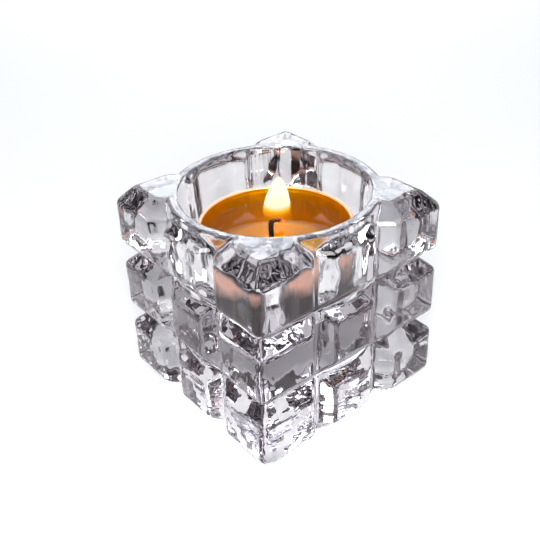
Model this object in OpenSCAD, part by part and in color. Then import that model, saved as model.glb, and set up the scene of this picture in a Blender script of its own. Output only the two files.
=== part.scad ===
// Tealight holder: a pressed-glass block shaped as a grid of bevelled cubelets
// with a round well, and the tealight that stands in the well.
// Millimetres, +Z up, origin at the centre of the block's underside.

/* [Glass block] */
// Width of the block across two opposite sides
side_w = 56; // [54:1:75]
// Height of the block
block_h = 55; // [48:1:75]
// Depth of the V grooves between cubelets, whose walls slope at 45 degrees
groove_depth = 3.5; // [2:0.25:4.5]
// Flat cut along each upright corner edge
corner_cut = 1.5; // [0.5:0.25:3]
// Bevel around the top of every column
top_bevel = 4; // [2:0.25:5]
// Bevel around the foot of every column
foot_bevel = 3.5; // [2:0.25:5]

/* [Well] */
// Depth of the round well that the tealight stands in
well_depth = 25; // [20:0.5:36]
// Free space around the tealight's rim at the mouth of the well
mouth_gap = 3.7; // [2:0.1:6]
// Free space around the tealight's foot on the floor of the well
floor_gap = 2.6; // [1:0.1:5]
// Thickness of the round collar that the grooves leave around the well
collar_wall = 2.8; // [2:0.1:5]
// Rounding of the collar's lip, inside and outside
lip_round = 0.8; // [0.3:0.1:1.2]
// Rounding between the floor and the wall of the well
floor_round = 2; // [1:0.25:3]

/* [Tealight cup] */
// Diameter over the rolled rim of the cup
cup_d = 38; // [30:0.5:40]
// How much narrower the cup is at its foot than over its rim
cup_taper = 1.6; // [1:0.2:4]
// Height of the cup
cup_h = 16; // [11:0.5:20]
// Thickness of the cup's sheet metal
cup_wall = 0.35; // [0.25:0.05:0.5]
// Diameter of the rolled bead around the rim
bead_d = 1; // [0.8:0.1:1.4]
// Rounding of the cup's foot
foot_round = 1.2; // [0.8:0.1:2]

/* [Wax and wick] */
// Drop from the cup's rim to the level of the wax
wax_drop = 2; // [1:0.25:4]
// Rise of the wax where it wets the cup
meniscus = 0.5; // [0.2:0.1:0.8]
// Diameter of the braided wick
wick_d = 1.4; // [0.8:0.1:1.8]
// Height of the straight part of the wick above the wax
wick_rise = 0.8; // [0.6:0.1:5]
// Radius of the curl at the wick's burnt end
curl_r = 1.5; // [0.9:0.1:2]
// Turn of the curl, in degrees
curl_turn = 155; // [60:5:160]
// Compass direction of the curl, in degrees from +X
curl_heading = -39; // [-180:1:180]
// Distance of the wick and its foot plate from the cup's axis
wick_shift = 1.2; // [0:0.1:3]
// Diameter of the metal foot plate that holds the wick up
plate_d = 18; // [10:0.5:24]
// Thickness of the foot plate
plate_t = 0.4; // [0.3:0.1:0.8]
// Height of the foot plate's neck, from the cup's floor
neck_h = 4; // [2:0.5:6]
// Thickness of the neck around the wick
neck_wall = 0.5; // [0.3:0.1:0.8]

/* [Hidden] */
// Cubelets along each edge of the block
cubelets = 3;
// Hairline between pieces that belong to the tealight
hair = 0.04;
// Width left at the top of the meniscus, which keeps it from a knife edge
meniscus_edge = 0.1;
// Hairline between the tealight's foot and the floor of the well
seat_gap = 0.05;
// Overrun of a cut past the face that it opens
over = 1;
// Fineness of round shapes
$fn = 96;

half_w = side_w / 2;
pitch = side_w / cubelets;
tier_h = block_h / cubelets;
floor_z = block_h - well_depth;
foot_d = cup_d - cup_taper;
mouth_r = cup_d / 2 + mouth_gap;
floor_r = foot_d / 2 + floor_gap;
collar_r = mouth_r + collar_wall;
// Room that a cutting block needs to pass right through the glass
reach = side_w + block_h;

cup_z = floor_z + seat_gap;
wax_z = cup_z + cup_h - wax_drop;
bead_r = bead_d / 2;
cup_top_r = cup_d / 2 - bead_r;
// Height of the centre of the rolled bead
bead_z = cup_z + cup_h - bead_r;
cup_floor_z = cup_z + cup_wall;
wick_r = wick_d / 2;
neck_r = wick_r + hair + neck_wall;
plate_z = cup_floor_z + hair;
wick_x = -wick_shift * cos(curl_heading);
wick_y = -wick_shift * sin(curl_heading);

// ---- glass block ----

// Everything past a 45 degree plane that starts at distance d from the axis on
// the side facing heading; up = 1 slopes over the top, up = -1 under the foot
module bevel_cut(heading, d, z, up) {
    rotate([0, 0, heading])
        translate([d, 0, z])
            rotate([0, -45 * up, 0])
                translate([0, -reach, -reach])
                    cube([reach, 2 * reach, 2 * reach]);
}

// Bevels one side of a column at its top and its foot
module bevel_pair(heading, d) {
    bevel_cut(heading, d, block_h - top_bevel, 1);
    bevel_cut(heading, d, foot_bevel, -1);
}

// Column at the corner of the block, on the -X -Y side
module corner_column() {
    inner = -pitch / 2;
    wall_d = (half_w - pitch / 2 - groove_depth) / sqrt(2);
    corner_d = (2 * half_w - corner_cut) / sqrt(2);
    difference() {
        linear_extrude(block_h)
            polygon([
                [-half_w + corner_cut, -half_w],
                [inner - groove_depth, -half_w],
                [inner, -half_w + groove_depth],
                [inner, inner],
                [-half_w + groove_depth, inner],
                [-half_w, inner - groove_depth],
                [-half_w, -half_w + corner_cut]
            ]);
        bevel_pair(-90, half_w);
        bevel_pair(180, half_w);
        bevel_pair(-135, corner_d);
        bevel_pair(-45, wall_d);
        bevel_pair(135, wall_d);
    }
}

// Column in the middle of the -Y side
module side_column() {
    edge = pitch / 2;
    wall_d = (half_w + pitch / 2 - groove_depth) / sqrt(2);
    difference() {
        linear_extrude(block_h)
            polygon([
                [-edge + groove_depth, -half_w],
                [edge - groove_depth, -half_w],
                [edge, -half_w + groove_depth],
                [edge, -edge],
                [-edge, -edge],
                [-edge, -half_w + groove_depth]
            ]);
        bevel_pair(-90, half_w);
        bevel_pair(-45, wall_d);
        bevel_pair(-135, wall_d);
    }
}

// V groove along the -Y side, a square bar standing on its edge
module tier_groove() {
    bar = groove_depth * sqrt(2);
    rotate([45, 0, 0])
        translate([-reach, -bar / 2, -bar / 2])
            cube([2 * reach, bar, bar]);
}

// Round body that keeps the glass thick around the well
module collar() {
    rotate_extrude()
        difference() {
            square([collar_r, block_h]);
            round_corner(collar_r, block_h, lip_round, 1, 1);
            round_corner(collar_r, 0, lip_round, 1, -1);
        }
}

// What a rounding of radius r removes from a square corner at [x, y]; the
// corner points along sx and sy
module round_corner(x, y, r, sx, sy) {
    translate([x - sx * r, y - sy * r])
        scale_signs(sx, sy)
            difference() {
                square([r + over, r + over]);
                circle(r);
            }
}

// Mirrors a flat shape so that its first quadrant points along sx and sy
module scale_signs(sx, sy) {
    mirror([sx < 0 ? 1 : 0, 0])
        mirror([0, sy < 0 ? 1 : 0])
            children();
}

module well_cut() {
    rotate_extrude()
        union() {
            difference() {
                polygon([
                    [0, floor_z],
                    [floor_r, floor_z],
                    [mouth_r, block_h],
                    [mouth_r, block_h + over],
                    [0, block_h + over]
                ]);
                round_corner(floor_r, floor_z, floor_round, 1, -1);
            }
            difference() {
                translate([mouth_r - lip_round, block_h - lip_round])
                    square([2 * lip_round, lip_round + over]);
                translate([mouth_r + lip_round, block_h - lip_round])
                    circle(lip_round);
            }
        }
}

module glass_holder() {
    color([0.86, 0.9, 0.95, 0.5])
        difference() {
            union() {
                difference() {
                    for (turn = [0:90:270])
                        rotate([0, 0, turn]) {
                            corner_column();
                            side_column();
                        }
                    for (turn = [0:90:270], tier = [1:cubelets - 1])
                        rotate([0, 0, turn])
                            translate([0, -half_w, tier * tier_h])
                                tier_groove();
                }
                collar();
            }
            well_cut();
        }
}

// ---- tealight ----

// Half section of the space inside the cup, kept inset away from the metal,
// up to height top
module cup_space(inset, top) {
    floor_in = foot_d / 2 - cup_wall - inset;
    rim_in = cup_top_r - cup_wall - inset;
    rise = (top - cup_floor_z) / (bead_z - cup_floor_z);
    difference() {
        polygon([
            [0, cup_floor_z + inset],
            [floor_in, cup_floor_z + inset],
            [floor_in + (rim_in - floor_in) * rise, top],
            [0, top]
        ]);
        round_corner(floor_in, cup_floor_z + inset, foot_round, 1, -1);
    }
}

module tealight_cup() {
    color([0.85, 0.48, 0.28])
        rotate_extrude()
            union() {
                difference() {
                    polygon([
                        [0, cup_z],
                        [foot_d / 2, cup_z],
                        [cup_top_r, bead_z],
                        [0, bead_z]
                    ]);
                    round_corner(foot_d / 2, cup_z, foot_round, 1, -1);
                    cup_space(0, cup_z + cup_h);
                }
                translate([cup_top_r, bead_z])
                    circle(bead_r);
            }
}

module wick() {
    foot_z = plate_z + plate_t;
    curl_z = wax_z + wick_rise;
    color([0.08, 0.07, 0.07])
        translate([wick_x, wick_y, 0]) {
            translate([0, 0, foot_z])
                cylinder(h = curl_z - foot_z, r = wick_r);
            translate([0, 0, curl_z])
                rotate([0, 0, curl_heading])
                    translate([curl_r, 0, 0])
                        mirror([1, 0, 0])
                            rotate([90, 0, 0])
                                rotate_extrude(angle = curl_turn)
                                    translate([curl_r, 0])
                                        circle(wick_r);
        }
}

// Round plate and neck, grown by gap where the wax has to clear them
module plate_shape(gap) {
    translate([wick_x, wick_y, plate_z - gap]) {
        cylinder(h = plate_t + 2 * gap, r = plate_d / 2 + gap);
        cylinder(h = neck_h + 2 * gap, r = neck_r + gap);
    }
}

module wick_sustainer() {
    color([0.55, 0.5, 0.47])
        difference() {
            plate_shape(0);
            translate([wick_x, wick_y, plate_z + plate_t])
                cylinder(h = neck_h, r = wick_r + hair);
        }
}

module wax() {
    wall_r = cup_top_r - cup_wall - hair;
    curve_r = wall_r - meniscus_edge - meniscus;
    color([0.93, 0.88, 0.8, 0.6])
        difference() {
            rotate_extrude()
                difference() {
                    cup_space(hair, wax_z + meniscus);
                    translate([0, wax_z])
                        square([curve_r, meniscus + over]);
                    translate([curve_r, wax_z + meniscus])
                        circle(meniscus);
                }
            plate_shape(hair);
            translate([wick_x, wick_y, plate_z])
                cylinder(h = wax_z + over - plate_z, r = wick_r + hair);
        }
}

glass_holder();
tealight_cup();
wax();
wick();
wick_sustainer();
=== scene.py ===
"""Tealight holder: a clear pressed-glass block with a lit tealight in its well.

Shapes are worked out in millimetres and turned into metres in mesh_piece. Materials work in
metres, so a noise scale of 1000 has features of about a millimetre.
"""

import math

import bpy
import numpy as np
from mathutils import Matrix, Vector


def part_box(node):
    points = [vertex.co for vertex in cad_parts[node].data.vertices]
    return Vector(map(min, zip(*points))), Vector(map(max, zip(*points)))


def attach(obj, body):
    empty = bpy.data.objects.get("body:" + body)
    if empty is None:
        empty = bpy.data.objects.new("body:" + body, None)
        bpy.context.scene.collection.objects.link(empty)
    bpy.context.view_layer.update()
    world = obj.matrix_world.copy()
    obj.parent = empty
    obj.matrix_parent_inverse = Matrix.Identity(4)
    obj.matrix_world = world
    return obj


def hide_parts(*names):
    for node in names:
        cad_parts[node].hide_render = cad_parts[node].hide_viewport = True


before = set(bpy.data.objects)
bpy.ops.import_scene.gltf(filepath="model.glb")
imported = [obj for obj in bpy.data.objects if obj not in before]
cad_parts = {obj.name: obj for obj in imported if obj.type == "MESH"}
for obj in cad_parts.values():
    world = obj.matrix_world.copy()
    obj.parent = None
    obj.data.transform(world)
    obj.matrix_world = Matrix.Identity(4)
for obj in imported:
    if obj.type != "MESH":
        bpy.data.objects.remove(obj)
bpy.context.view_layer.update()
MM = 0.001


def box_mm(node):
    """Lowest and highest corner of a CAD node, in millimetres."""
    low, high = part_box(node)
    return np.array(low) / MM, np.array(high) / MM


# ---- sizes from the frame, in millimetres ----

_, block_high = box_mm("glass_holder")
cup_low, cup_high = box_mm("tealight_cup")
_, wax_high = box_mm("wax")
_, wick_high = box_mm("wick")
plate_low, plate_high = box_mm("wick_sustainer")

BLOCK_H = block_high[2]
HALF = block_high[0]
RIM_R = cup_high[0]
WICK_X = (plate_low[0] + plate_high[0]) / 2
WICK_Y = (plate_low[1] + plate_high[1]) / 2

# ---- other sizes of the CAD source, in millimetres ----

CUBELETS = 3
GROOVE = 3.5
CORNER_CUT = 1.5
TOP_BEVEL = 4.0
FOOT_BEVEL = 3.5
WELL_DEPTH = 25
MOUTH_GAP = 3.7
FLOOR_GAP = 2.6
COLLAR_WALL = 2.8
FLOOR_ROUND = 2.0
LIP_ROUND = 0.8

CUP_TAPER = 1.6
CUP_WALL = 0.35
BEAD_R = 0.5
FOOT_ROUND = 1.2
MENISCUS = 0.5
PLATE_T = 0.4
WICK_R = 0.7
CURL_R = 1.5
CURL_TURN = math.radians(155)
CURL_HEADING = math.radians(-39)

PITCH = 2 * HALF / CUBELETS
TIER = BLOCK_H / CUBELETS
FOOT_R = RIM_R - CUP_TAPER / 2
MOUTH_R = RIM_R + MOUTH_GAP
FLOOR_R = FOOT_R + FLOOR_GAP
FLOOR_Z = BLOCK_H - WELL_DEPTH
COLLAR_R = MOUTH_R + COLLAR_WALL
CURL_Z = wick_high[2] - CURL_R - WICK_R


# ---- small tools ----


def mesh_piece(name, points, faces, body, material, smooth=True):
    """A mesh piece from points in millimetres that rides on a CAD body."""
    mesh = bpy.data.meshes.new(name)
    mesh.from_pydata((np.asarray(points) * MM).tolist(), [], faces)
    mesh.validate()
    mesh.polygons.foreach_set("use_smooth", [smooth] * len(mesh.polygons))
    mesh.update()
    piece = bpy.data.objects.new(name, mesh)
    bpy.context.scene.collection.objects.link(piece)
    mesh.materials.append(material)
    if body:
        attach(piece, body)
    return piece


def node_material(name):
    """A new material, its node tree and its Principled shader."""
    material = bpy.data.materials.new(name)
    material.use_nodes = True
    tree = material.node_tree
    return material, tree, tree.nodes["Principled BSDF"]


def set_inputs(tree, node, inputs):
    """Sets a node's inputs, or links them where the value is another node's output."""
    for key, value in inputs.items():
        if isinstance(value, bpy.types.NodeSocket):
            tree.links.new(value, node.inputs[key])
        else:
            node.inputs[key].default_value = value


def add_node(tree, kind, inputs=None, **settings):
    """Adds a node, sets its properties and then its inputs."""
    node = tree.nodes.new(kind)
    for key, value in settings.items():
        setattr(node, key, value)
    set_inputs(tree, node, inputs or {})
    return node


def piece_place(tree):
    """The place on a piece, in metres."""
    return add_node(tree, "ShaderNodeTexCoord").outputs["Object"]


def drawn_out(tree, place, z_scale):
    """A place with its height scaled down, so that a pattern on it is drawn out upwards."""
    inputs = {"Vector": place, "Scale": (1.0, 1.0, z_scale)}
    return add_node(tree, "ShaderNodeMapping", inputs).outputs["Vector"]


def noise(tree, place, scale, detail=3.0, roughness=0.5):
    """A random pattern between 0 and 1, finer for a larger scale."""
    inputs = {"Vector": place, "Scale": scale, "Detail": detail, "Roughness": roughness}
    return add_node(tree, "ShaderNodeTexNoise", inputs).outputs["Fac"]


def ramp(tree, value, start, end, low=0.0, high=1.0, smooth=False):
    """Runs from low to high while a value runs from start to end."""
    inputs = {"Value": value, "From Min": start, "From Max": end, "To Min": low, "To Max": high}
    kind = "SMOOTHSTEP" if smooth else "LINEAR"
    node = add_node(tree, "ShaderNodeMapRange", inputs, interpolation_type=kind)
    return node.outputs["Result"]


def mix_colours(tree, share, first, second):
    """A colour that goes from the first to the second as share goes from 0 to 1."""
    inputs = {"Factor": share, "A": first, "B": second}
    return add_node(tree, "ShaderNodeMix", inputs, data_type="RGBA").outputs["Result"]


def bumped(tree, height, strength, distance):
    """The normal of a surface that rises and falls with a pattern."""
    inputs = {"Strength": strength, "Distance": distance, "Height": height}
    return add_node(tree, "ShaderNodeBump", inputs).outputs["Normal"]


def absorb(tree, colour, density):
    """Makes the inside of a clear material take up light."""
    volume = add_node(tree, "ShaderNodeVolumeAbsorption", {"Color": colour, "Density": density})
    tree.links.new(volume.outputs["Volume"], tree.nodes["Material Output"].inputs["Volume"])


# ---- glass block ----

# Rounding of the outer edges, and filling of the notches between cubelets
EDGE_ROUND = 0.75
NOTCH_ROUND = 0.45
# Height of the waves in the pressed surface
RIPPLE = 0.035
# How far a side column runs on into the corner columns
COLUMN_OVERLAP = 1
# Spacing of the sampling grid, and its reach past the block
GLASS_STEP = 0.54
GRID_MARGIN = 1

# The tint and its density colour the light that passes through; the waves, drawn out upwards,
# are a bump in the surface
GLASS_COLOUR = (0.985, 0.99, 1.0, 1)
GLASS_IOR = 1.52
GLASS_TINT = (0.52, 0.47, 0.51, 1)
GLASS_DENSITY = 24.0
GLASS_WAVES = 260.0
GLASS_STRETCH = 0.22
GLASS_BUMP = 0.6
GLASS_BUMP_HEIGHT = 0.0005


def round_max(parts, r):
    """Largest of several distances, with the edges between them rounded to r."""
    top = np.maximum.reduce(parts)
    over = sum(np.maximum(part + r, 0) ** 2 for part in parts)
    return np.minimum(top, -r) + np.sqrt(over)


def round_min(parts, r):
    """Smallest of several distances, with the notches between them filled to r."""
    return -round_max([-part for part in parts], r)


def bevelled(walls, z):
    """Distances to upright walls, to the bevels at their tops and feet, and to the ends."""
    slope = math.sqrt(0.5)
    tops = [(wall + z - (BLOCK_H - TOP_BEVEL)) * slope for wall in walls]
    feet = [(wall - z + FOOT_BEVEL) * slope for wall in walls]
    return [*walls, *tops, *feet, z - BLOCK_H, -z]


def ripple(x, y, z):
    """Slight unevenness of a pressed and fire-polished surface.

    It is a sum of waves that bend one another. Their lengths and shifts differ, so that no
    pattern shows.
    """
    wave = np.sin(0.9 * x + 1.3 * np.sin(0.5 * z + 1.0))
    wave = wave * np.sin(0.8 * y + 1.1 * np.sin(0.6 * z + 0.3))
    return wave + np.sin(0.7 * z + 1.2 * np.sin(0.45 * (x - y)))


def glass_distance(points):
    """Distance in millimetres from the glass surface, negative inside the glass."""
    x, y, z = points
    far = np.maximum(np.abs(x), np.abs(y))
    near = np.minimum(np.abs(x), np.abs(y))
    diagonal = math.sqrt(0.5)
    face = far - HALF
    notch = HALF - GROOVE

    corner_walls = [
        face,
        near - HALF,
        (far + near) * diagonal - (2 * HALF - CORNER_CUT) * diagonal,
        (far - near) * diagonal - (notch - PITCH / 2) * diagonal,
    ]
    corner = round_max(bevelled(corner_walls, z), EDGE_ROUND)
    side_walls = [face, (far + near) * diagonal - (notch + PITCH / 2) * diagonal]
    side_end = near - PITCH / 2 - COLUMN_OVERLAP
    side = round_max([*bevelled(side_walls, z), side_end], EDGE_ROUND)
    columns = round_min([corner, side], NOTCH_ROUND)

    from_groove = np.abs(np.abs(z - BLOCK_H / 2) - TIER / 2)
    grooves = [(far - notch - from_groove) * diagonal, (near - notch - from_groove) * diagonal]
    cut = round_max([columns, *grooves], EDGE_ROUND)

    radius = np.hypot(x, y)
    collar = round_max([radius - COLLAR_R, z - BLOCK_H, -z], LIP_ROUND)
    outside = round_min([cut, collar], NOTCH_ROUND)
    outside = np.maximum(outside, np.maximum(z - BLOCK_H, -z))

    draft = (MOUTH_R - FLOOR_R) / (BLOCK_H - FLOOR_Z)
    wall = (radius - FLOOR_R - draft * (z - FLOOR_Z)) / math.hypot(1, draft)
    well = round_max([wall, FLOOR_Z - z], FLOOR_ROUND)
    return round_max([outside, -well], LIP_ROUND) + RIPPLE * ripple(x, y, z)


def on_surface(distance, points, rounds=4, delta=0.02):
    """Moves points along the slope of a distance until they lie on its surface."""
    flattest = 0.1
    for _ in range(rounds):
        here = distance(points)
        slope = np.empty_like(points)
        for axis in range(3):
            nudge = np.zeros((3, 1))
            nudge[axis] = delta
            slope[axis] = (distance(points + nudge) - distance(points - nudge)) / (2 * delta)
        points = points - slope * here / np.maximum((slope**2).sum(0), flattest)
    return points


def surface_net(distance, low, high, step):
    """Points and quads of the surface where a distance is zero (surface nets).

    A cell of the grid that the surface passes through gets a point, at the mean of the places
    where the surface crosses the cell's edges. An edge that the surface crosses gets a quad of
    the points in the four cells around it, facing out.
    """
    ticks = [np.arange(a, b + step, step) for a, b in zip(low, high)]
    grid = np.stack(np.meshgrid(*ticks, indexing="ij"))
    value = distance(grid)
    inside = value < 0
    shape = [n - 1 for n in inside.shape]

    def corner(array, i, j, k):
        return array[i : i + shape[0], j : j + shape[1], k : k + shape[2]]

    count = sum(corner(inside, *at).astype(np.int8) for at in np.ndindex(2, 2, 2))
    mixed = (count > 0) & (count < 8)
    number = np.full(shape, -1)
    number[mixed] = np.arange(mixed.sum())

    total = np.zeros((3, mixed.sum()))
    crossings = np.zeros(mixed.sum())
    for axis in range(3):
        for other in np.ndindex(2, 2):
            start = list(other)
            start.insert(axis, 0)
            end = list(other)
            end.insert(axis, 1)
            a = corner(value, *start)[mixed]
            b = corner(value, *end)[mixed]
            crosses = (a < 0) != (b < 0)
            share = np.where(crosses, a / np.where(crosses, a - b, 1), 0)
            for part in range(3):
                place = share if part == axis else start[part]
                total[part] += np.where(crosses, place, 0)
            crossings += crosses
    cells = np.argwhere(mixed).T
    points = np.array(low, float).reshape(3, 1) + (cells + total / crossings) * step

    quads = []
    for axis in range(3):
        a = np.moveaxis(inside, axis, 0)[:-1, 1:-1, 1:-1]
        b = np.moveaxis(inside, axis, 0)[1:, 1:-1, 1:-1]
        around = np.moveaxis(number, axis, 0)
        ring = [around[:, :-1, :-1], around[:, 1:, :-1], around[:, 1:, 1:], around[:, :-1, 1:]]
        if axis == 1:
            ring.reverse()
        for sign, order in ((a & ~b, (0, 1, 2, 3)), (b & ~a, (3, 2, 1, 0))):
            quads.append(np.stack([ring[n][sign] for n in order], axis=1))
    return on_surface(distance, points), np.concatenate(quads)


def glass_material():
    """Clear glass with a faint tint, and soft upright waves in its surface."""
    material, tree, shader = node_material("clear_glass")
    waves = noise(
        tree,
        drawn_out(tree, piece_place(tree), GLASS_STRETCH),
        GLASS_WAVES,
        detail=2.0,
        roughness=0.4,
    )
    inputs = {
        "Base Color": GLASS_COLOUR,
        "Transmission Weight": 1,
        "IOR": GLASS_IOR,
        "Roughness": 0.0,
        "Normal": bumped(tree, waves, GLASS_BUMP, GLASS_BUMP_HEIGHT),
    }
    set_inputs(tree, shader, inputs)
    absorb(tree, GLASS_TINT, GLASS_DENSITY)
    return material


def build_glass():
    """The block in one mesh, with rounded edges and a rippled surface."""
    low = (-HALF - GRID_MARGIN, -HALF - GRID_MARGIN, -GRID_MARGIN)
    high = (HALF + GRID_MARGIN, HALF + GRID_MARGIN, BLOCK_H + GRID_MARGIN)
    points, quads = surface_net(glass_distance, low, high, GLASS_STEP)
    piece = mesh_piece("pressed_glass", points.T, quads.tolist(), "holder", glass_material())
    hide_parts("glass_holder")


# ---- turned shapes ----

# Radius of the tiny ring that a turned shape has where it meets its axis
AXIS_R = 0.01


def lathe(profile, steps, centre=(0.0, 0.0), flute=None):
    """Points and faces of a profile [(radius, z), ...] turned about an upright axis.

    The profile runs from the axis at the bottom to the axis at the top, and the two
    tiny rings where it meets the axis are closed. flute(angle, radius, z) gives what to
    add to the radius.
    """
    angles = np.arange(steps) * 2 * math.pi / steps
    radius = np.array([r for r, _ in profile])
    height = np.array([z for _, z in profile])
    spread = np.repeat(radius[None, :], steps, axis=0)
    if flute is not None:
        spread = spread + flute(angles[:, None], radius[None, :], height[None, :])
    x = centre[0] + spread * np.cos(angles)[:, None]
    y = centre[1] + spread * np.sin(angles)[:, None]
    z = np.repeat(height[None, :], steps, axis=0)
    points = np.stack([x, y, z], axis=-1).reshape(-1, 3)
    count = len(profile)
    faces = []
    for step in range(steps):
        here = step * count
        after = (step + 1) % steps * count
        for i in range(count - 1):
            faces.append((here + i, after + i, after + i + 1, here + i + 1))
    faces.append(tuple(step * count for step in reversed(range(steps))))
    faces.append(tuple(step * count + count - 1 for step in range(steps)))
    return points, faces


def arc(centre, radius, start, end, steps):
    """Points of an arc in the (radius, z) half plane, angles in degrees."""
    turn = [math.radians(start + (end - start) * i / steps) for i in range(steps + 1)]
    return [(centre[0] + radius * math.cos(t), centre[1] + radius * math.sin(t)) for t in turn]


def straight(start, end, steps):
    """Points of a straight run, without its last point."""
    share = [i / steps for i in range(steps)]
    return [(start[0] + (end[0] - start[0]) * t, start[1] + (end[1] - start[1]) * t) for t in share]


# ---- tealight cup ----

# Draw marks down the wall: how many, how deep, where they end as a share of the height, and
# how fast they grow from the foot and fade towards the rim
FLUTES = 90
FLUTE_DEPTH = 0.03
FLUTE_TOP = 0.88
FLUTE_GROWTH = 4
FLUTE_FADE = 6
# They are on the wall only, which is outside this radius
FLUTE_INNER = FOOT_R - 1
# Depths under the rim between which the copper fades into the painted shade and dark reflection of
# the lower wall
SHADE_LOW = 8.6
SHADE_HIGH = 4.8
# How far below the middle of the rim's bead the inner wall starts
LINING_DROP = 0.3
CUP_STEPS = 288

FOIL_METALLIC = 0.4
FOIL_ROUGH = (0.2, 0.42)
STREAK_SCALE = 700.0
STREAK_STRETCH = 0.06
COPPER = (1.0, 0.6, 0.46, 1)
# Painted shade and dark reflection on the lower wall, streaked darker and paler
PAINTED_SHADE_DARK = (0.012, 0.009, 0.01, 1)
PAINTED_SHADE_PALE = (0.12, 0.085, 0.085, 1)
LINING_AMBER = (0.76, 0.49, 0.002, 1)
LINING_ROUGH = (0.4, 0.6)
MOTTLE_SCALE = 500.0


def cup_material():
    """Thin foil, copper-coloured under the rim and painted dark below as shade and reflection, with
    upright streaks in that painted dark and in the roughness.
    """
    material, tree, shader = node_material("copper_foil")
    place = piece_place(tree)
    height = add_node(tree, "ShaderNodeSeparateXYZ", {"Vector": place}).outputs["Z"]
    streaks = noise(tree, drawn_out(tree, place, STREAK_STRETCH), STREAK_SCALE)
    low, high = (cup_high[2] - SHADE_LOW) * MM, (cup_high[2] - SHADE_HIGH) * MM
    # The lower wall's colour is painted shade and dark reflection, streaked by the noise
    painted_shade = mix_colours(tree, streaks, PAINTED_SHADE_DARK, PAINTED_SHADE_PALE)
    inputs = {
        "Metallic": FOIL_METALLIC,
        "Base Color": mix_colours(tree, ramp(tree, height, low, high), painted_shade, COPPER),
        "Roughness": ramp(tree, streaks, 0, 1, *FOIL_ROUGH),
    }
    set_inputs(tree, shader, inputs)
    return material


def lining_material():
    """The lacquered inside of the cup."""
    material, tree, shader = node_material("copper_lining")
    mottle = noise(tree, piece_place(tree), MOTTLE_SCALE)
    inputs = {
        "Metallic": 1,
        "Base Color": LINING_AMBER,
        "Roughness": ramp(tree, mottle, 0, 1, *LINING_ROUGH),
    }
    set_inputs(tree, shader, inputs)
    return material


def cup_flutes(angle, radius, z):
    """Small draw marks down the cup's wall, none at its rim and foot."""
    share = np.clip((z - cup_low[2]) / (cup_high[2] - cup_low[2]), 0, 1)
    fade = np.clip(FLUTE_GROWTH * share, 0, 1) * np.clip(FLUTE_FADE * (FLUTE_TOP - share), 0, 1)
    slow_wave = 0.5 * np.sin((FLUTES // 3) * angle + 1)
    wave = np.sin(FLUTES * angle) + slow_wave
    return FLUTE_DEPTH * wave * fade * (radius > FLUTE_INNER)


def build_cup():
    """The cup as one turned sheet with a rolled rim, foil outside and lining inside."""
    low = cup_low[2]
    bead_z = cup_high[2] - BEAD_R
    wall_top = RIM_R - BEAD_R
    inner_floor = low + CUP_WALL
    inner_r = FOOT_R - CUP_WALL
    outside = [
        *straight((AXIS_R, low), (FOOT_R - FOOT_ROUND, low), 12),
        *arc((FOOT_R - FOOT_ROUND, low + FOOT_ROUND), FOOT_ROUND, -90, 0, 6),
        *straight((FOOT_R, low + FOOT_ROUND), (wall_top, bead_z - BEAD_R), 24)[1:],
        *arc((wall_top, bead_z), BEAD_R, -85, 180, 16),
    ]
    lining_top = (wall_top - CUP_WALL, bead_z - LINING_DROP)
    inside = [
        *straight(lining_top, (inner_r, inner_floor + FOOT_ROUND), 24),
        *arc((inner_r - FOOT_ROUND, inner_floor + FOOT_ROUND), FOOT_ROUND, 0, -90, 6),
        *straight((inner_r - FOOT_ROUND, inner_floor), (AXIS_R, inner_floor), 12)[1:],
        (AXIS_R, inner_floor),
    ]
    profile = [*outside, *inside]
    points, faces = lathe(profile, CUP_STEPS, flute=cup_flutes)
    cup = mesh_piece("tealight_cup_foil", points, faces, "tealight", cup_material())
    cup.data.materials.append(lining_material())
    # The lining takes over on the last step of the bead
    first = len(outside) - 2
    count = len(profile)
    lining = [1 if (face.vertices[0] % count) >= first else 0 for face in cup.data.polygons]
    cup.data.polygons.foreach_set("material_index", lining)
    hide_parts("tealight_cup")


# ---- wax ----

# Rounding at the wax's foot, and the level run outside the meniscus curve
WAX_ROUND = 1.0
LEVEL_RUN = 0.2
WAX_STEPS = 144

# Its index of refraction is kept low, so that the surface shows the cup more than the sky
WAX_IOR = 1.15
WAX_TINT = (0.85, 0.8, 0.1, 1)
WAX_DENSITY = 45.0
SWIRL_SCALE = 150.0
SWIRL_BUMP = 0.15
SWIRL_HEIGHT = 0.0003


def wax_material():
    """Melted wax: clear and amber-coloured, with a faint swirl on its surface."""
    material, tree, shader = node_material("candle_wax")
    swirl = noise(tree, piece_place(tree), SWIRL_SCALE, detail=1.0)
    inputs = {
        "Base Color": (1, 1, 1, 1),
        "Transmission Weight": 1,
        "IOR": WAX_IOR,
        "Roughness": 0.0,
        "Normal": bumped(tree, swirl, SWIRL_BUMP, SWIRL_HEIGHT),
    }
    set_inputs(tree, shader, inputs)
    absorb(tree, WAX_TINT, WAX_DENSITY)
    return material


def build_wax():
    """Molten wax that wets the cup, the wick and the foot plate, and so overlaps the metal."""
    surface = wax_high[2] - MENISCUS
    wall = RIM_R - BEAD_R - CUP_WALL
    soak = CUP_WALL / 2
    wet = cup_low[2] + CUP_WALL - soak
    foot = FOOT_R - CUP_WALL - WAX_ROUND
    curve = wall - MENISCUS
    profile = [
        (AXIS_R, wet),
        *straight((2 * AXIS_R, wet), (foot, wet), 10),
        *arc((foot + soak, wet + WAX_ROUND), WAX_ROUND, -90, 0, 4),
        (wall + soak, surface + MENISCUS),
        *arc((curve, surface + MENISCUS), MENISCUS, 0, -90, 6),
        *straight((curve - LEVEL_RUN, surface), (AXIS_R, surface), 24),
        (AXIS_R, surface),
    ]
    points, faces = lathe(profile, WAX_STEPS)
    wax = mesh_piece("molten_wax", points, faces, "tealight", wax_material())
    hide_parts("wax")


# ---- wick and its foot plate ----

# Radius of a strand, its distance from the wick's centre line, and the length of one turn
STRAND_R = 0.38
STRAND_LAY = 0.32
STRAND_PITCH = 2.4
STRANDS = 3
STRAND_SIDES = 8
PATH_STEPS = 40

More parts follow.
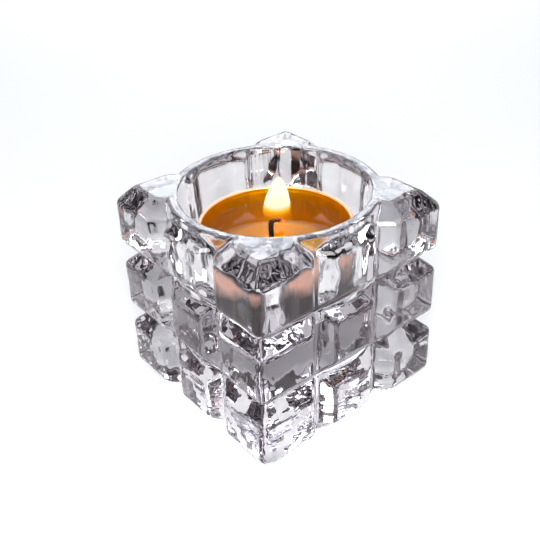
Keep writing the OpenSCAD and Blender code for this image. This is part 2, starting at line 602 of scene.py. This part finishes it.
CHAR_DARK = (0.004, 0.003, 0.003, 1)
CHAR_PALE = (0.045, 0.03, 0.026, 1)
CHAR_ROUGH = 0.9
FIBRE_SCALE = 4000.0
EMBER = (1.0, 0.25, 0.03, 1)
EMBER_STRENGTH = 1.5
# Distances from the wick's tip, in metres, between which the ember fades
EMBER_FULL = 0.0005
EMBER_END = 0.0012

PLATE_COLOUR = (0.6, 0.5, 0.45, 1)
PLATE_ROUGH = (0.25, 0.45)
GRAIN_SCALE = 900.0


def wick_path(steps):
    """Centre line of the wick: straight up, then curled over."""
    foot = plate_low[2] + PLATE_T
    line = [Vector((WICK_X, WICK_Y, z)) for z in np.linspace(foot, CURL_Z, steps)]
    heading = Vector((math.cos(CURL_HEADING), math.sin(CURL_HEADING), 0))
    centre = Vector((WICK_X, WICK_Y, CURL_Z)) + heading * CURL_R
    for i in range(1, steps + 1):
        turn = math.pi - CURL_TURN * i / steps
        rise = Vector((0, 0, CURL_R * math.sin(turn)))
        line.append(centre + heading * CURL_R * math.cos(turn) + rise)
    return line


def wick_material():
    """Charred cotton, with a small ember at its tip."""
    material, tree, shader = node_material("wick_cotton")
    place = piece_place(tree)
    fibres = noise(tree, place, FIBRE_SCALE)
    tip = wick_path(PATH_STEPS)[-1] * MM
    reach = add_node(tree, "ShaderNodeVectorMath", {0: place, 1: tip}, operation="DISTANCE")
    ember = ramp(tree, reach.outputs["Value"], EMBER_FULL, EMBER_END, 1.0, 0.0)
    inputs = {
        "Base Color": mix_colours(tree, fibres, CHAR_DARK, CHAR_PALE),
        "Roughness": CHAR_ROUGH,
        "Emission Color": mix_colours(tree, ember, (0, 0, 0, 1), EMBER),
        "Emission Strength": EMBER_STRENGTH,
    }
    set_inputs(tree, shader, inputs)
    return material


def build_wick():
    """Three strands laid round each other along the wick's centre line."""
    path = wick_path(PATH_STEPS)
    across = Vector((-math.sin(CURL_HEADING), math.cos(CURL_HEADING), 0))
    stations = []
    travelled = 0.0
    for i, place in enumerate(path):
        ahead = path[min(i + 1, len(path) - 1)] - path[max(i - 1, 0)]
        ahead.normalize()
        travelled += (place - path[i - 1]).length if i else 0
        stations.append((place, ahead.cross(across), travelled))
    points, faces = [], []
    sides = range(STRAND_SIDES)
    for strand in range(STRANDS):
        first = len(points)
        for place, up, along in stations:
            turn = 2 * math.pi * (along / STRAND_PITCH + strand / STRANDS)
            centre = place + (across * math.cos(turn) + up * math.sin(turn)) * STRAND_LAY
            for side in sides:
                angle = 2 * math.pi * side / STRAND_SIDES
                spoke = across * math.cos(angle) + up * math.sin(angle)
                points.append(centre + spoke * STRAND_R)
        for i in range(len(stations) - 1):
            here = first + i * STRAND_SIDES
            above = here + STRAND_SIDES
            for side in sides:
                after = (side + 1) % STRAND_SIDES
                faces.append((here + side, here + after, above + after, above + side))
        last = first + (len(stations) - 1) * STRAND_SIDES
        faces.append(tuple(first + side for side in reversed(sides)))
        faces.append(tuple(last + side for side in sides))
    wick = mesh_piece("braided_wick", points, faces, "tealight", wick_material())
    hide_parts("wick")


def plate_material():
    """Tinned sheet with a fine grain."""
    material, tree, shader = node_material("plate_steel")
    grain = noise(tree, piece_place(tree), GRAIN_SCALE)
    inputs = {
        "Base Color": PLATE_COLOUR,
        "Metallic": 1,
        "Roughness": ramp(tree, grain, 0, 1, *PLATE_ROUGH),
    }
    set_inputs(tree, shader, inputs)
    return material


def finish_plate():
    """The foot plate keeps its CAD shape and gets a better material."""
    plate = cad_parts["wick_sustainer"]
    plate.data.materials.clear()
    plate.data.materials.append(plate_material())


# ---- flame ----

# Its foot is just over the wick, and its tip is as far above the CAD box as the size rule lets
# it be, about 3% of the height
FLAME_GAP = 0.3
FLAME_REACH = 1.03
FLAME_LOW = wick_high[2] + FLAME_GAP
FLAME_HIGH = BLOCK_H * FLAME_REACH
FLAME_R = 3.4
# It stands over the curl, beside the wick's straight part
FLAME_SHIFT = 1.4
FLAME_X = WICK_X + FLAME_SHIFT * math.cos(CURL_HEADING)
FLAME_Y = WICK_Y + FLAME_SHIFT * math.sin(CURL_HEADING)
# How far the tip leans along X and Y
FLAME_LEAN = (1.95, 1.0)
# Share of the height that the rounded foot takes, and the two powers of the taper
FLAME_FOOT = 0.1
FLAME_BELLY = 1.9
FLAME_POINT = 0.68
FLAME_RINGS = 48
FLAME_STEPS = 48

# Colours at shares of the height, from the foot up
FLAME_COLOURS = (
    (0.0, (0.75, 0.17, 0.01, 1)),
    (0.14, (1.0, 0.36, 0.01, 1)),
    (0.26, (1.0, 0.62, 0.05, 1)),
    (0.36, (1.0, 0.93, 0.74, 1)),
)
FLAME_STRENGTH = 1.25
# The flame is clear at its foot and gets its full body at this share of its height
FLAME_CLEAR = 0.28
FLAME_BODY = 0.8

# The light that the flame gives: its height over the flame's foot, its radius and its power
LAMP_RISE = 4
LAMP_R = 2
LAMP_POWER = 0.014
LAMP_COLOUR = (1.0, 0.52, 0.18)


def flame_material():
    """Glowing gas: orange at the foot, pale yellow above, and clear near the wick."""
    material, tree, shader = node_material("flame_light")
    tree.nodes.remove(shader)
    height = add_node(tree, "ShaderNodeSeparateXYZ", {"Vector": piece_place(tree)}).outputs["Z"]
    rise = ramp(tree, height, FLAME_LOW * MM, FLAME_HIGH * MM)
    colours = add_node(tree, "ShaderNodeValToRGB", {"Fac": rise})
    stops = colours.color_ramp.elements
    stops.remove(stops[1])
    stops[0].position, stops[0].color = FLAME_COLOURS[0]
    for share, colour in FLAME_COLOURS[1:]:
        stops.new(share).color = colour
    inputs = {"Color": colours.outputs["Color"], "Strength": FLAME_STRENGTH}
    glow = add_node(tree, "ShaderNodeEmission", inputs)
    clear = add_node(tree, "ShaderNodeBsdfTransparent")
    body = ramp(tree, rise, 0.0, FLAME_CLEAR, 0.0, FLAME_BODY)
    inputs = {"Fac": body, 1: clear.outputs["BSDF"], 2: glow.outputs["Emission"]}
    mix = add_node(tree, "ShaderNodeMixShader", inputs)
    tree.links.new(mix.outputs["Shader"], tree.nodes["Material Output"].inputs["Surface"])
    material.cycles.emission_sampling = "NONE"
    return material


def build_flame():
    """Teardrop of light over the wick, leaning a little, and the light that it gives."""
    length = FLAME_HIGH - FLAME_LOW
    profile = []
    for i in range(FLAME_RINGS + 1):
        t = i / FLAME_RINGS
        taper = (1 - t**FLAME_BELLY) ** FLAME_POINT
        foot = math.sqrt(max(0.0, 1 - (1 - min(1, t / FLAME_FOOT)) ** 2))
        profile.append((max(AXIS_R / 2, FLAME_R * taper * foot), FLAME_LOW + length * t))
    points, faces = lathe(profile, FLAME_STEPS, (FLAME_X, FLAME_Y))
    share = (points[:, 2] - FLAME_LOW) / length
    points[:, :2] += share[:, None] * np.array(FLAME_LEAN)
    flame = mesh_piece("flame", points, faces, "tealight", flame_material())
    flame.visible_shadow = False
    light = bpy.data.lights.new("flame_glow", "POINT")
    light.energy = LAMP_POWER
    light.color = LAMP_COLOUR
    light.shadow_soft_size = LAMP_R * MM
    lamp = bpy.data.objects.new("flame_glow", light)
    bpy.context.scene.collection.objects.link(lamp)
    lamp.location = (FLAME_X * MM, FLAME_Y * MM, (FLAME_LOW + LAMP_RISE) * MM)
    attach(lamp, "tealight")


# ---- studio ----

FLOOR_COLOUR = (0.78, 0.78, 0.78, 1)
FLOOR_ROUGH = 0.9
FLOOR_HALF = 3000
FLOOR_DROP = 0.02
# The floor's glow under the block, and its fade to the faint glow around it, as shares of
# the block's half width
NEAR_GLOW = 0.6
FAINT_GLOW = 0.05
GLOW_INNER = 0.8
GLOW_OUTER = 1.15
# The glow of the floor far off, which meets the pale backdrop, and its start and end in metres
FAR_GLOW = 0.7
FAR_START = 0.25
FAR_END = 1.2

# The world that the glass reflects: bright behind the block, a third as bright above it, and
# dark elsewhere. The ranges say where each brightening starts and ends, as parts of a direction.
WORLD_DARK = (0.05, 0.042, 0.045, 1)
WORLD_BRIGHT = (0.95, 0.94, 0.95, 1)
LIFT_RANGE = (0.05, 0.6)
LIFT_MOST = 0.34
REAR_HEADING = (0.62, 0.78, 0.0)
REAR_RANGE = (0.1, 0.7)
# What the camera sees behind everything
BACKDROP = (0.93, 0.94, 0.96, 1)
DISPLAY_GAMMA = 0.82

# The camera's place around the block's centre, its lens and nearest view (in metres), and
# where it aims, in millimetres to the right of the centre and above it
AZIMUTH = math.radians(-38.7)
ELEVATION = math.radians(33.4)
DISTANCE = 210.2
LENS = 55.48
SENSOR = 36
NEAREST = 0.01
ROLL = math.radians(-2.42)
AIM_RIGHT = -1.88
AIM_UP = 3.77


def build_floor():
    """A pale floor that glows under the block, where the glass shows it, and far off."""
    material, tree, shader = node_material("studio_floor")
    away = add_node(tree, "ShaderNodeVectorMath", {0: piece_place(tree)}, operation="LENGTH")
    away = away.outputs["Value"]
    inner, outer = GLOW_INNER * HALF * MM, GLOW_OUTER * HALF * MM
    near = ramp(tree, away, inner, outer, NEAR_GLOW, FAINT_GLOW, smooth=True)
    far = ramp(tree, away, FAR_START, FAR_END, 0.0, FAR_GLOW, smooth=True)
    both = add_node(tree, "ShaderNodeMath", {0: near, 1: far}, operation="ADD")
    inputs = {
        "Base Color": FLOOR_COLOUR,
        "Roughness": FLOOR_ROUGH,
        "Emission Color": (1, 1, 1, 1),
        "Emission Strength": both.outputs["Value"],
    }
    set_inputs(tree, shader, inputs)
    corners = ((-1, -1), (1, -1), (1, 1), (-1, 1))
    points = [(x * FLOOR_HALF, y * FLOOR_HALF, -FLOOR_DROP) for x, y in corners]
    floor = mesh_piece("studio_floor", points, [(0, 1, 2, 3)], None, material, smooth=False)


def build_world():
    """Soft surroundings for the glass to reflect, behind a plain pale backdrop."""
    world = bpy.data.worlds.new("studio")
    bpy.context.scene.world = world
    world.use_nodes = True
    tree = world.node_tree
    heading = add_node(tree, "ShaderNodeTexCoord").outputs["Generated"]
    height = add_node(tree, "ShaderNodeSeparateXYZ", {"Vector": heading}).outputs["Z"]
    lift = ramp(tree, height, *LIFT_RANGE, 0.0, LIFT_MOST, smooth=True)
    inputs = {0: heading, 1: REAR_HEADING}
    behind = add_node(tree, "ShaderNodeVectorMath", inputs, operation="DOT_PRODUCT")
    rear = ramp(tree, behind.outputs["Value"], *REAR_RANGE, smooth=True)
    either = add_node(tree, "ShaderNodeMath", {0: lift, 1: rear}, operation="MAXIMUM")
    colour = mix_colours(tree, either.outputs["Value"], WORLD_DARK, WORLD_BRIGHT)
    seen = add_node(tree, "ShaderNodeLightPath").outputs["Is Camera Ray"]
    shown = mix_colours(tree, seen, colour, BACKDROP)
    tree.links.new(shown, tree.nodes["Background"].inputs["Color"])


def area_light(name, place, size, power, colour=(1, 1, 1), shadow=True):
    """A square soft box at a place in metres, facing the block."""
    light = bpy.data.lights.new(name, "AREA")
    light.size = size
    light.energy = power
    light.color = colour
    light.use_shadow = shadow
    lamp = bpy.data.objects.new(name, light)
    bpy.context.scene.collection.objects.link(lamp)
    lamp.location = place
    aim = Vector((0, 0, BLOCK_H * MM / 2)) - lamp.location
    lamp.rotation_euler = aim.to_track_quat("-Z", "Y").to_euler()


def build_lights():
    """A cool window behind the block, and a key light in front, whose shadow falls behind."""
    cool = (0.84, 0.93, 1.0)
    area_light("window", (0.32, 0.4, 0.36), size=0.35, power=1.6, colour=cool, shadow=False)
    area_light("key", (-0.354, -0.442, 0.41), size=0.4, power=6.4)


def build_camera():
    """The camera looks just above and beside the block's centre, tilted a little."""
    flat = math.cos(ELEVATION)
    back = Vector((math.sin(AZIMUTH) * flat, -math.cos(AZIMUTH) * flat, math.sin(ELEVATION)))
    right = Vector((math.cos(AZIMUTH), math.sin(AZIMUTH), 0))
    up = back.cross(right)
    centre = Vector((0, 0, BLOCK_H / 2))
    place = centre + back * DISTANCE
    aim = centre + right * AIM_RIGHT + up * AIM_UP
    data = bpy.data.cameras.new("camera")
    data.lens = LENS
    data.sensor_width = SENSOR
    data.clip_start = NEAREST
    camera = bpy.data.objects.new("camera", data)
    bpy.context.scene.collection.objects.link(camera)
    camera.location = place * MM
    turn = (aim - place).to_track_quat("-Z", "Y").to_matrix() @ Matrix.Rotation(ROLL, 3, "Z")
    camera.rotation_euler = turn.to_euler()
    bpy.context.scene.camera = camera


build_glass()
build_cup()
build_wax()
build_wick()
finish_plate()
build_flame()
build_floor()
build_world()
build_lights()
build_camera()
bpy.context.scene.view_settings.view_transform = "Standard"
bpy.context.scene.view_settings.gamma = DISPLAY_GAMMA
